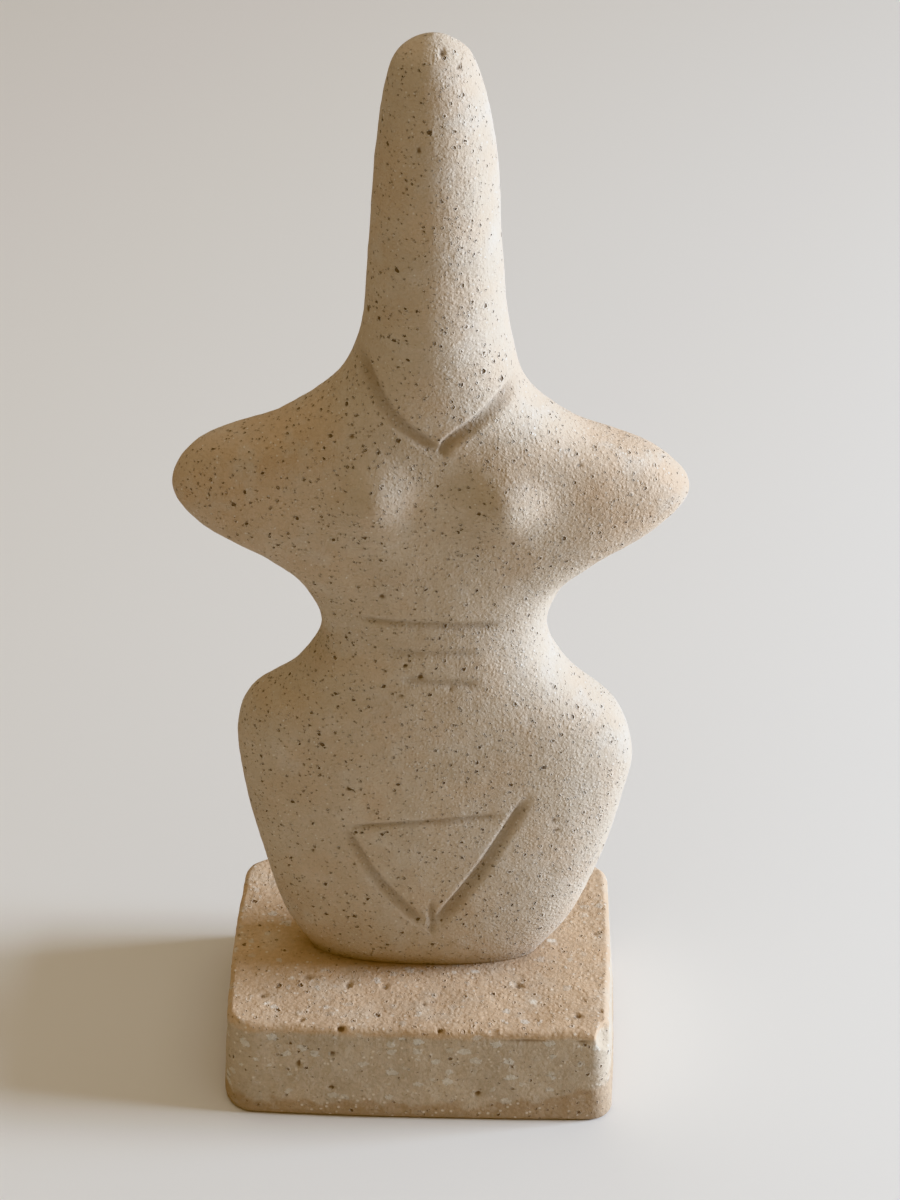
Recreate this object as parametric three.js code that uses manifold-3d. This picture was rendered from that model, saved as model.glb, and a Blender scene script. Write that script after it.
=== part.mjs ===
// A violin-shaped Cycladic idol carved from porous limestone, glued upright on a slab plinth.
// Millimetres. +Z is up, the figure faces -Y, and +X is on the right of someone facing it.
// The origin is the centre of the plinth's underside.
import * as THREE from 'three';
import { mergeVertices } from 'three/addons/utils/BufferGeometryUtils.js';
import Module from 'manifold-3d';

const wasm = await Module();
wasm.setup();

// ---- Plinth ----
const PLINTH = {
  width: 57.4,
  depth: 41.8,
  height: 16,
  cornerRadii: [5.2, 5.6, 5.2, 3.3], // back right, back left, front left and front right
  topRound: 1, // the worn upper edge
  footRound: 1.2, // the lower edge
  bow: 0.4, // how far the long and short sides swell at their middles
  taper: 0.95, // how far each side has drawn in by the top
  lean: 0.35, // how far the top's middle lies behind the foot's
};
// A flake lost from the front right corner of the upper edge, as the ball that would fill it.
const CHIP = { x: 28.6, y: -18.9, z: 14.9, radius: 3.1 };
const CHIP_DETAIL = 3;
const PLINTH_CORNER_STEPS = 6;
const PLINTH_SIDE_STEPS = 6;
const PLINTH_EDGE_STEPS = 4;

// ---- Figure ----
// Heights are above the plinth's top. The figure's axis stands a little to the right of the plinth's.
const FIGURE_OFFSET_X = 2.1;

// The figure's front outline and side profile, from the foot up. At each height it has the outline's
// half width, how far the section's middle lies to the right of the axis, how much higher the right
// edge is than the left one, and how far the section reaches forward and back.
const STATIONS = [
  { part: 'foot', z: 0, half: 16.4, shift: -1.7, rise: 0, front: 5.1, back: 5 },
  { part: 'heel', z: 2.6, half: 18.1, shift: -1.5, rise: 0, front: 6.6, back: 6.3 },
  { part: 'ankle', z: 6.9, half: 20.7, shift: -1.2, rise: 0, front: 7.7, back: 7.3 },
  { part: 'thigh', z: 17.9, half: 24.4, shift: -0.5, rise: 0, front: 8.6, back: 8 },
  { part: 'flank', z: 29.9, half: 27, shift: -0.2, rise: 0, front: 9, back: 8.4 },
  { part: 'hip', z: 37.9, half: 27.7, shift: -0.1, rise: -3, front: 9, back: 8.4 },
  { part: 'hipTop', z: 43.9, half: 25.8, shift: -0.3, rise: -1.5, front: 8.8, back: 8.2 },
  { part: 'loin', z: 49.4, half: 19.4, shift: -0.3, rise: 0, front: 8.4, back: 7.9 },
  { part: 'waist', z: 56.9, half: 15.6, shift: -0.1, rise: 0, front: 8, back: 7.5 },
  { part: 'ribs', z: 63.9, half: 17.9, shift: -0.4, rise: 0, front: 8, back: 7.5 },
  { part: 'armpit', z: 68.4, half: 22.9, shift: -0.5, rise: 0, front: 8.2, back: 7.5 },
  { part: 'armUnder', z: 73.9, half: 31.3, shift: -1.1, rise: 0, front: 8.3, back: 7.5 },
  { part: 'armTip', z: 79.4, half: 34.6, shift: -0.6, rise: 0.6, front: 8.3, back: 7.5 },
  { part: 'armTop', z: 84.5, half: 31.3, shift: -1, rise: 0, front: 8.2, back: 7.5 },
  { part: 'shoulder', z: 88.9, half: 20.5, shift: -1.2, rise: 0, front: 8.2, back: 7.6 },
  { part: 'neckRoot', z: 94.9, half: 12.9, shift: -0.6, rise: 0, front: 8.2, back: 7.7 },
  { part: 'collar', z: 101.4, half: 10.2, shift: 0.1, rise: 0, front: 8.2, back: 7.8 },
  { part: 'neckMiddle', z: 114.9, half: 8.7, shift: 0.2, rise: 0, front: 7.8, back: 7.6 },
  { part: 'neckTop', z: 128.9, half: 7.7, shift: 0.3, rise: 0, front: 7.1, back: 7 },
  { part: 'brow', z: 137.4, half: 6.3, shift: 0.1, rise: 0, front: 5.8, back: 5.8 },
  { part: 'crownSide', z: 142.2, half: 4.4, shift: 0, rise: 0, front: 3.9, back: 3.9 },
  { part: 'crown', z: 144.4, half: 0, shift: 0, rise: 0, front: 0, back: 0 },
];
const heightOf = Object.fromEntries(STATIONS.map((s) => [s.part, s.z]));

// Superellipse exponents of the horizontal sections: the neck is round and the body a little squarer.
const BODY_EXPONENT = 2.3;
const NECK_EXPONENT = 2;

const RINGS = 74;
const FRONT_STEPS = 28;
const BACK_STEPS = 16;

// Two low mounds, set either side of the chest's middle.
const BREASTS = { middle: 0.9, apart: 17.2, z: 81.2, radius: 4.9, height: 2.5 };

// Gouged strokes on the front, each through the points [x, z], with its width and depth.
const STROKES = [
  { through: [[-9.9, 101.5], [-5.7, 94.5], [1, 88.7]], width: 2, depth: 0.55 },
  { through: [[1.3, 88.2], [2.3, 90.4], [6, 93.2], [11.6, 97.5]], width: 2.1, depth: 0.55 },
  { through: [[-10.3, 61.7], [9, 61.1]], width: 1.4, depth: 0.4 },
  { through: [[-5.4, 56.7], [5.3, 56.8]], width: 1.3, depth: 0.3 },
  { through: [[-4.4, 52.4], [5.9, 51.9]], width: 1.3, depth: 0.3 },
  { through: [[-12.2, 27.2], [-3, 28.6], [10.2, 30.1]], width: 1.3, depth: 0.4 },
  { through: [[-12.4, 27.1], [-8.2, 18.3], [-1.6, 9.5]], width: 1.8, depth: 0.45 },
  { through: [[13.2, 32.9], [7.4, 21.3], [0.2, 9.1]], width: 2.3, depth: 0.6 },
  { through: [[-0.3, 14.1], [-0.3, 7.7]], width: 1.2, depth: 0.4 },
];
const STROKE_STEPS = 9;
const STROKE_SIDES = 10;
const RUN_OUT = 0.12; // the share of a stroke's length over which it comes up to the surface

const FIGURE_COLOUR = 0xcfc2ae;
const PLINTH_COLOUR = 0xc9ae88;
const STONE_ROUGHNESS = 0.92;

// Centripetal Catmull-Rom interpolation of every number in the stations. u counts stations from 0.
// Knots follow the outline, so that height and half width set the spacing. Past the crown the outline
// comes down the other side, which makes the top round, and below the foot it runs straight on.
const STATION_KEYS = ['z', 'half', 'shift', 'rise', 'front', 'back'];

function stationPast(index) {
  const last = STATIONS.length - 1;
  if (index > last) {
    const { z, half, shift, rise, front, back } = STATIONS[last - 1];
    return { z, half: -half, shift, rise, front: -front, back: -back };
  }
  if (index < 0) {
    return Object.fromEntries(STATION_KEYS.map((key) => [key, 2 * STATIONS[0][key] - STATIONS[1][key]]));
  }
  return STATIONS[index];
}

function stationAt(u) {
  const i = Math.min(Math.floor(u), STATIONS.length - 2);
  const p = [i - 1, i, i + 1, i + 2].map(stationPast);
  const knots = [0];
  for (let k = 0; k < 3; k += 1) {
    knots.push(knots[k] + Math.sqrt(Math.hypot(p[k + 1].z - p[k].z, p[k + 1].half - p[k].half)));
  }
  const [t0, t1, t2, t3] = knots;
  const t = t1 + (u - i) * (t2 - t1);
  const mix = (a, b, from, to) => (a * (to - t) + b * (t - from)) / (to - from);
  const value = (key) => {
    const a = mix(p[0][key], p[1][key], t0, t1);
    const b = mix(p[1][key], p[2][key], t1, t2);
    const c = mix(p[2][key], p[3][key], t2, t3);
    return mix(mix(a, b, t0, t2), mix(b, c, t1, t3), t1, t2);
  };
  return Object.fromEntries(STATION_KEYS.map((key) => [key, value(key)]));
}

// Picks count + 1 items of a dense list, evenly spaced by the distance between neighbours.
function spreadEvenly(items, distance, count) {
  const along = [0];
  for (let k = 1; k < items.length; k += 1) {
    along.push(along[k - 1] + distance(items[k - 1], items[k]));
  }
  const total = along[along.length - 1];
  const picked = [];
  let k = 0;
  for (let n = 0; n <= count; n += 1) {
    const target = (total * n) / count;
    while (k < items.length - 1 && along[k] < target - 1e-9) k += 1;
    picked.push(items[k]);
  }
  return picked;
}

const DENSE = 4000;
const outline = Array.from({ length: DENSE + 1 }, (_, k) => stationAt(((STATIONS.length - 1) * k) / DENSE));

// The section's exponent eases from the body's to the neck's between the shoulder and the collar.
function exponentAt(z) {
  const share = THREE.MathUtils.smoothstep(z, heightOf.shoulder, heightOf.collar);
  return THREE.MathUtils.lerp(BODY_EXPONENT, NECK_EXPONENT, share);
}

// How far the breasts stand forward of the plain front at (x, z).
function reliefAt(x, z) {
  return [-0.5, 0.5].reduce((sum, side) => {
    const dx = x - BREASTS.middle - side * BREASTS.apart;
    const dz = z - BREASTS.z;
    return sum + BREASTS.height * Math.exp(-(dx * dx + dz * dz) / BREASTS.radius ** 2);
  }, 0);
}

// A point of the section at station s. share runs from -1 at the left edge to 1 at the right edge,
// and side is -1 on the front and 1 on the back.
function sectionPoint(s, share, side) {
  const n = exponentAt(s.z);
  const bulge = (1 - Math.abs(share) ** n) ** (1 / n);
  const x = s.shift + share * s.half;
  const z = s.z + (share * s.rise) / 2;
  const depth = side < 0 ? s.front + reliefAt(x, z) : s.back;
  return new THREE.Vector3(x, side * bulge * depth, z);
}

// One closed ring of the figure, counterclockwise from above, starting at the left edge. Its points
// are picked evenly from a dense run of SECTION_STEPS.
const SECTION_STEPS = 400;

function figureRing(s) {
  const arc = (side, steps) => {
    const dense = Array.from({ length: SECTION_STEPS + 1 }, (_, k) => (
      sectionPoint(s, -Math.cos((Math.PI * k) / SECTION_STEPS), side)
    ));
    return spreadEvenly(dense, (a, b) => a.distanceTo(b), steps);
  };
  const front = arc(-1, FRONT_STEPS);
  const back = arc(1, BACK_STEPS).reverse();
  return [...front.slice(0, -1), ...back.slice(0, -1)];
}

// A closed geometry through rings that run from the bottom up, each counterclockwise from above.
// The ends close in fans round the given points.
function loft(rings, bottom, top) {
  const size = rings[0].length;
  const points = [...rings.flat(), bottom, top];
  const bottomIndex = points.length - 2;
  const topIndex = points.length - 1;
  const index = [];
  for (let j = 0; j < size; j += 1) {
    const next = (j + 1) % size;
    index.push(bottomIndex, next, j);
    for (let k = 0; k < rings.length - 1; k += 1) {
      const low = k * size;
      const high = low + size;
      index.push(low + j, low + next, high + next, low + j, high + next, high + j);
    }
    const last = (rings.length - 1) * size;
    index.push(last + j, last + next, topIndex);
  }
  const geometry = new THREE.BufferGeometry().setFromPoints(points);
  geometry.setIndex(index);
  return geometry;
}

function figureBody() {
  const distance = (a, b) => Math.hypot(b.z - a.z, b.half - a.half);
  const stations = spreadEvenly(outline, distance, RINGS);
  const crown = stations.pop();
  return loft(
    stations.map(figureRing),
    new THREE.Vector3(stations[0].shift, 0, stations[0].z),
    new THREE.Vector3(crown.shift, 0, crown.z),
  );
}

// The front surface at (x, z).
function frontPoint(x, z) {
  const s = outline.find((station) => station.z >= z);
  const share = THREE.MathUtils.clamp((x - s.shift) / s.half, -0.99, 0.99);
  const level = { ...s, rise: 0 };
  return sectionPoint(level, share, -1);
}

function frontNormal(x, z) {
  const step = 0.4;
  const across = frontPoint(x + step, z).sub(frontPoint(x - step, z));
  const up = frontPoint(x, z + step).sub(frontPoint(x, z - step));
  return across.cross(up).normalize();
}

// A gouge's path just over the front: a round tool whose edge cuts the stroke's width and depth,
// lifted out of the stone at both ends.
function strokeTool({ through, width, depth }) {
  const radius = (width * width) / (8 * depth) + depth / 2;
  const plan = new THREE.CatmullRomCurve3(through.map(([x, z]) => new THREE.Vector3(x, 0, z)));
  const path = plan.getSpacedPoints(STROKE_STEPS).map(({ x, z }, k) => {
    const toEnd = Math.min(k, STROKE_STEPS - k) / STROKE_STEPS;
    const runOut = 1 - THREE.MathUtils.smoothstep(toEnd, 0, RUN_OUT);
    const lift = radius - depth * (1 - 0.8 * runOut);
    return frontPoint(x, z).addScaledVector(frontNormal(x, z), lift);
  });
  const section = new THREE.Shape().absarc(0, 0, radius, 0, 2 * Math.PI, false);
  return new THREE.ExtrudeGeometry(section, {
    steps: STROKE_STEPS,
    curveSegments: STROKE_SIDES / 2,
    extrudePath: new THREE.CatmullRomCurve3(path),
  });
}

function solidFrom(geometry) {
  const bare = geometry.clone();
  bare.deleteAttribute('normal');
  bare.deleteAttribute('uv');
  const merged = mergeVertices(bare, 1e-4);
  return new wasm.Manifold(new wasm.Mesh({
    numProp: 3,
    vertProperties: merged.attributes.position.array,
    triVerts: Uint32Array.from(merged.index.array),
  }));
}

function geometryFrom(solid) {
  const { vertProperties, triVerts } = solid.getMesh();
  const geometry = new THREE.BufferGeometry();
  geometry.setAttribute('position', new THREE.BufferAttribute(vertProperties, 3));
  geometry.setIndex(new THREE.BufferAttribute(triVerts, 1));
  geometry.computeVertexNormals();
  return geometry;
}

function carvedFigure() {
  const tools = STROKES.map((stroke) => solidFrom(strokeTool(stroke)));
  return geometryFrom(tools.reduce((stone, tool) => stone.subtract(tool), solidFrom(figureBody())));
}

// One level of the plinth: a rounded rectangle drawn in by the edge's rounding and the taper, whose
// sides bow out at their middles, set back by the lean. It runs counterclockwise from the right.
function plinthRing(edgeInset, z) {
  const { width, depth, height, cornerRadii, bow, taper, lean } = PLINTH;
  const inset = edgeInset + (taper * z) / height;
  const toward = (angle) => new THREE.Vector3(Math.cos(angle), Math.sin(angle), 0);
  const corners = [[1, 1], [-1, 1], [-1, -1], [1, -1]].map(([sx, sy], k) => {
    const reach = bow + cornerRadii[k];
    const setBack = (lean * z) / height;
    const centre = new THREE.Vector3(sx * (width / 2 - reach), sy * (depth / 2 - reach) + setBack, z);
    return Array.from({ length: PLINTH_CORNER_STEPS + 1 }, (_, n) => {
      const angle = (Math.PI / 2) * (k + n / PLINTH_CORNER_STEPS);
      return toward(angle).multiplyScalar(cornerRadii[k] - inset).add(centre);
    });
  });
  return corners.flatMap((corner, k) => {
    const from = corner[PLINTH_CORNER_STEPS];
    const to = corners[(k + 1) % corners.length][0];
    const outward = toward((Math.PI / 2) * (k + 1));
    const side = Array.from({ length: PLINTH_SIDE_STEPS - 1 }, (_, n) => {
      const share = (n + 1) / PLINTH_SIDE_STEPS;
      return from.clone().lerp(to, share).addScaledVector(outward, bow * Math.sin(Math.PI * share));
    });
    return [...corner, ...side];
  });
}

// The slab, with quarter-round edges at the foot and the top, less the chip.
function plinthSlab() {
  const { height, topRound, footRound } = PLINTH;
  const quarter = (n) => ((Math.PI / 2) * n) / PLINTH_EDGE_STEPS;
  const rings = [];
  for (let n = 0; n <= PLINTH_EDGE_STEPS; n += 1) {
    const angle = quarter(n);
    rings.push(plinthRing(footRound * (1 - Math.sin(angle)), footRound * (1 - Math.cos(angle))));
  }
  for (let n = 0; n <= PLINTH_EDGE_STEPS; n += 1) {
    const angle = quarter(n);
    rings.push(plinthRing(topRound * (1 - Math.cos(angle)), height - topRound * (1 - Math.sin(angle))));
  }
  const slab = loft(rings, new THREE.Vector3(0, 0, 0), new THREE.Vector3(0, PLINTH.lean, height));
  const ball = new THREE.IcosahedronGeometry(CHIP.radius, CHIP_DETAIL).translate(CHIP.x, CHIP.y, CHIP.z);
  return geometryFrom(solidFrom(slab).subtract(solidFrom(ball)));
}

function stonePiece(name, geometry, color) {
  const material = new THREE.MeshStandardMaterial({ color, roughness: STONE_ROUGHNESS, metalness: 0 });
  const mesh = new THREE.Mesh(geometry, material);
  mesh.name = name;
  return mesh;
}

const plinth = stonePiece('plinth', plinthSlab(), PLINTH_COLOUR);

const figure = stonePiece('figure', carvedFigure(), FIGURE_COLOUR);
figure.position.set(FIGURE_OFFSET_X, 0, PLINTH.height);

const idol = new THREE.Group();
idol.add(plinth, figure);

export default idol;
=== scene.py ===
"""A violin-shaped Cycladic idol in porous limestone on a slab plinth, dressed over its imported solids.

Both pieces are worked out as numpy grids: rings of points carried up a profile. Lengths in the classes
are millimetres, and the meshes are in metres.
"""

from __future__ import annotations

import itertools
import logging
import math
from dataclasses import dataclass
from enum import Enum

import bpy
import numpy as np
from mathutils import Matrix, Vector


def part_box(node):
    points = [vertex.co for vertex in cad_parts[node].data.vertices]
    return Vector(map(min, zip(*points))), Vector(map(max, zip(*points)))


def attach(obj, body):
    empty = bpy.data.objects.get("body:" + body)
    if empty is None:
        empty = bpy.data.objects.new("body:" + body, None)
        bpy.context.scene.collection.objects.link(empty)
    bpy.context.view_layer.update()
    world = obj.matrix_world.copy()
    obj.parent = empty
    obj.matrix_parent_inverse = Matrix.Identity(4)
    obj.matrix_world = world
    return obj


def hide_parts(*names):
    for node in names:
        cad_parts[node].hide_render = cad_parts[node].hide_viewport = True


Pair = tuple[float, float]
Triple = tuple[float, float, float]
Socket = bpy.types.NodeSocket
NodeTree = bpy.types.NodeTree

MM = 0.001
TINY = 1e-9
OUTLINE_STEPS = 8001
ARC_STEPS = 721
CORNER_STEPS = 81
SIDE_STEPS = 301
HASH_PRIMES = (73856093, 19349663, 83492791)
HASH_TABLE_SIZE = 4096
log = logging.getLogger("idol")

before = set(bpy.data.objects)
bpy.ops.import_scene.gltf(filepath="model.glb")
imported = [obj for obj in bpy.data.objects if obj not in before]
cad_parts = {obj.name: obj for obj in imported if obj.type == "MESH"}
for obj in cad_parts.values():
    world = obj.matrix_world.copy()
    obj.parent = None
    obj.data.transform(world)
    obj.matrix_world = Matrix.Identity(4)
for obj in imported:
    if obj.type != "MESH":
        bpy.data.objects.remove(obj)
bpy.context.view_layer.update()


# ---- numpy helpers


def ease(value: np.ndarray, low: float, high: float) -> np.ndarray:
    """The smooth step 3t^2 - 2t^3, where t runs from 0 at low to 1 at high.

    Args:
        value: the numbers to ease.
        low: where the step starts.
        high: where the step ends; it may be below low.

    Returns:
        Numbers from 0 to 1, in value's shape.
    """
    t = np.clip((value - low) / (high - low), 0.0, 1.0)
    return t * t * (3.0 - 2.0 * t)


def cell_random(cell: np.ndarray, seed: int, count: int = 1) -> np.ndarray:
    """Fixed random numbers for the cells of a cubic lattice, read from a seeded table by a hash.

    Args:
        cell: whole-number cells, in shape (..., 3).
        seed: which table is read.
        count: how many numbers each cell gets.

    Returns:
        Numbers from 0 to 1 in shape (..., count).
    """
    table = np.random.default_rng(seed).random((HASH_TABLE_SIZE, count))
    mixed = cell * np.array(HASH_PRIMES)
    return table[(mixed[..., 0] ^ mixed[..., 1] ^ mixed[..., 2]) % HASH_TABLE_SIZE]


def value_noise(points: np.ndarray, size: float, seed: int) -> np.ndarray:
    """Smooth noise: random values at the corners of cubes, blended by eased weights.

    Args:
        points: places in shape (..., 3).
        size: the cubes' edge.
        seed: which noise it is.

    Returns:
        Values from -1 to 1, one for each point.
    """
    scaled = points / size
    cell = np.floor(scaled).astype(np.int64)
    weight = ease(scaled - cell, 0.0, 1.0)
    total = np.zeros(points.shape[:-1])
    for corner in itertools.product((0, 1), repeat=3):
        near = np.where(np.array(corner) == 1, weight, 1.0 - weight).prod(axis=-1)
        total += near * (2.0 * cell_random(cell + np.array(corner), seed)[..., 0] - 1.0)
    return total


@dataclass(frozen=True)
class Wear:
    """One size of wear: noise whose lumps are size wide, height high, and sunk by drop times the height."""

    size: float
    seed: int
    height: float
    drop: float


def wear_height(points: np.ndarray, wears: tuple[Wear, ...]) -> np.ndarray:
    """How far wear raises the surface: the sum of height * (noise - drop) over the sizes of wear.

    Args:
        points: places in shape (..., 3).
        wears: the sizes of wear.

    Returns:
        The rise at each point, nearly always below 0.
    """
    return sum(wear.height * (value_noise(points, wear.size, wear.seed) - wear.drop) for wear in wears)


@dataclass(frozen=True)
class Scatter:
    """Round hollows: balls centred at random in a share of the cells of a cubic lattice.

    The radius is the largest ball's, the others go down to smallest times that, and depth is how far
    the stone sinks at a ball's centre.
    """

    cell: float
    radius: float
    share: float
    seed: int
    depth: float
    smallest: float = 0.55

    def hollows(self, points: np.ndarray) -> np.ndarray:
        """How far inside a ball each point is.

        Args:
            points: places in shape (..., 3).

        Returns:
            For each point 1 at a ball's centre, falling to 0 at its edge as 1 - (distance / radius)^2.
        """
        home = np.floor(points / self.cell).astype(np.int64)
        deepest = np.zeros(points.shape[:-1])
        for step in itertools.product((-1, 0, 1), repeat=3):
            cell = home + np.array(step)
            random = cell_random(cell, self.seed, 5)
            centre = (cell + random[..., :3]) * self.cell
            ball = self.radius * (self.smallest + (1.0 - self.smallest) * random[..., 3])
            distance = np.linalg.norm(points - centre, axis=-1)
            hollow = np.clip(1.0 - (distance / ball) ** 2, 0.0, 1.0) * (random[..., 4] < self.share)
            deepest = np.maximum(deepest, hollow)
        return deepest


def lengths_along(points: np.ndarray) -> np.ndarray:
    """Running length of polylines.

    Args:
        points: lines in shape (..., points, axes).

    Returns:
        Lengths from each line's first point, in shape (..., points).
    """
    steps = np.linalg.norm(np.diff(points, axis=-2), axis=-1)
    return np.concatenate([np.zeros_like(steps[..., :1]), np.cumsum(steps, axis=-1)], axis=-1)


def smooth_line(through: tuple[Pair, ...], count: int) -> np.ndarray:
    """Points on a Catmull-Rom curve: between two points each span is the cubic with the neighbours' slopes.

    Args:
        through: the points that the curve passes, as (x, z).
        count: how many points are wanted.

    Returns:
        Points in shape (count, 2).
    """
    given = np.array(through, dtype=float)
    ends = np.vstack([2 * given[0] - given[1], given, 2 * given[-1] - given[-2]])
    u = np.linspace(0.0, len(given) - 1.0 - TINY, count)
    span = u.astype(int)
    t = (u - span)[:, None]
    before, start, stop, after = (ends[span + k] for k in range(4))
    return 0.5 * (
        2 * start
        + (stop - before) * t
        + (2 * before - 5 * start + 4 * stop - after) * t**2
        + (3 * start - before - 3 * stop + after) * t**3
    )


def ring_normals(rings: np.ndarray) -> np.ndarray:
    """Unit normals of a grid of rings, from the cross product of the two central differences.

    Args:
        rings: points in shape (rings, columns, 3); the columns close on themselves, counterclockwise
            from above, and the rings run upwards.

    Returns:
        Outward normals in the same shape.
    """
    across = np.roll(rings, -1, axis=1) - np.roll(rings, 1, axis=1)
    upward = np.gradient(rings, axis=0)
    normal = np.cross(across, upward)
    return normal / np.maximum(np.linalg.norm(normal, axis=-1, keepdims=True), TINY)


def closed_piece(
    name: str, rings: np.ndarray, bottom: np.ndarray, top: np.ndarray, masks: dict[str, np.ndarray]
) -> bpy.types.Object:
    """A closed, smooth mesh through a grid of rings, with a fan of triangles at each end.

    Args:
        name: the object's name.
        rings: points in millimetres, in shape (rings, columns, 3), from the bottom up.
        bottom: the point that the lowest ring closes round.
        top: the point that the highest ring closes round.
        masks: values by attribute name, each in shape (rings, columns).

    Returns:
        The new object, linked to the scene, at the origin.
    """
    levels, columns, _ = rings.shape
    points = np.vstack([rings.reshape(-1, 3), bottom, top]) * MM
    column = np.arange(columns)
    following = (column + 1) % columns
    level = np.arange(levels - 1)[:, None] * columns
    quads = np.stack(
        [level + column, level + following, level + columns + following, level + columns + column], axis=-1
    ).reshape(-1, 4)
    bottom_index, top_index = levels * columns, levels * columns + 1
    last = (levels - 1) * columns
    fans = np.vstack(
        [
            np.stack([np.full(columns, bottom_index), following, column], axis=-1),
            np.stack([last + column, last + following, np.full(columns, top_index)], axis=-1),
        ]
    )
    corners = np.concatenate([quads.ravel(), fans.ravel()])
    sides = np.concatenate([np.full(len(quads), 4), np.full(len(fans), 3)])

    mesh = bpy.data.meshes.new(name)
    mesh.vertices.add(len(points))
    mesh.vertices.foreach_set("co", points.ravel())
    mesh.loops.add(len(corners))
    mesh.loops.foreach_set("vertex_index", corners)
    mesh.polygons.add(len(sides))
    mesh.polygons.foreach_set("loop_start", np.concatenate([[0], np.cumsum(sides)[:-1]]))
    mesh.polygons.foreach_set("use_smooth", np.ones(len(sides), dtype=bool))
    mesh.update(calc_edges=True)
    for label, values in masks.items():
        layer = mesh.attributes.new(label, "FLOAT", "POINT")
        layer.data.foreach_set("value", np.concatenate([values.ravel(), [0.0, 0.0]]))
    mesh.validate()

    piece = bpy.data.objects.new(name, mesh)
    bpy.context.scene.collection.objects.link(piece)
    return piece


# ---- the figure


class Side(Enum):
    """The two faces of the figure. The value is the sign of y."""

    FRONT = -1
    BACK = 1


@dataclass(frozen=True)
class Station:
    """One height of the figure's outline and side profile, in millimetres above the plinth."""

    part: str
    z: float
    half: float
    shift: float
    rise: float
    front: float
    back: float

    def numbers(self) -> list[float]:
        """The station's sizes in a fixed order."""
        return [self.z, self.half, self.shift, self.rise, self.front, self.back]


@dataclass(frozen=True)
class Stroke:
    """A gouged line on the front. Its deepest part lies at lean, from -1 to 1, across its width."""

    name: str
    through: tuple[Pair, ...]
    width: Pair
    depth: float
    lean: float = 0.0
    run_out: float = 0.16


@dataclass(frozen=True)
class Dent:
    """One large open pore or worn spot: where it lies, its half sizes along x, y and z, and its depth."""

    x: float
    y: float
    z: float
    wide: float
    long: float
    high: float
    deep: float


def dent_depth(points: np.ndarray, dents: tuple[Dent, ...]) -> np.ndarray:
    """Depth of the dents, each an ellipsoid round its place where the depth falls to the edge as 1 - t^2.

    Args:
        points: places in shape (..., 3).
        dents: the dents.

    Returns:
        The deepest dent's depth for each point.
    """
    depth = np.zeros(points.shape[:-1])
    for dent in dents:
        away = (points - [dent.x, dent.y, dent.z]) / [dent.wide, dent.long, dent.high]
        depth = np.maximum(depth, dent.deep * np.clip(1.0 - (away**2).sum(axis=-1), 0.0, 1.0))
    return depth


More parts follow.
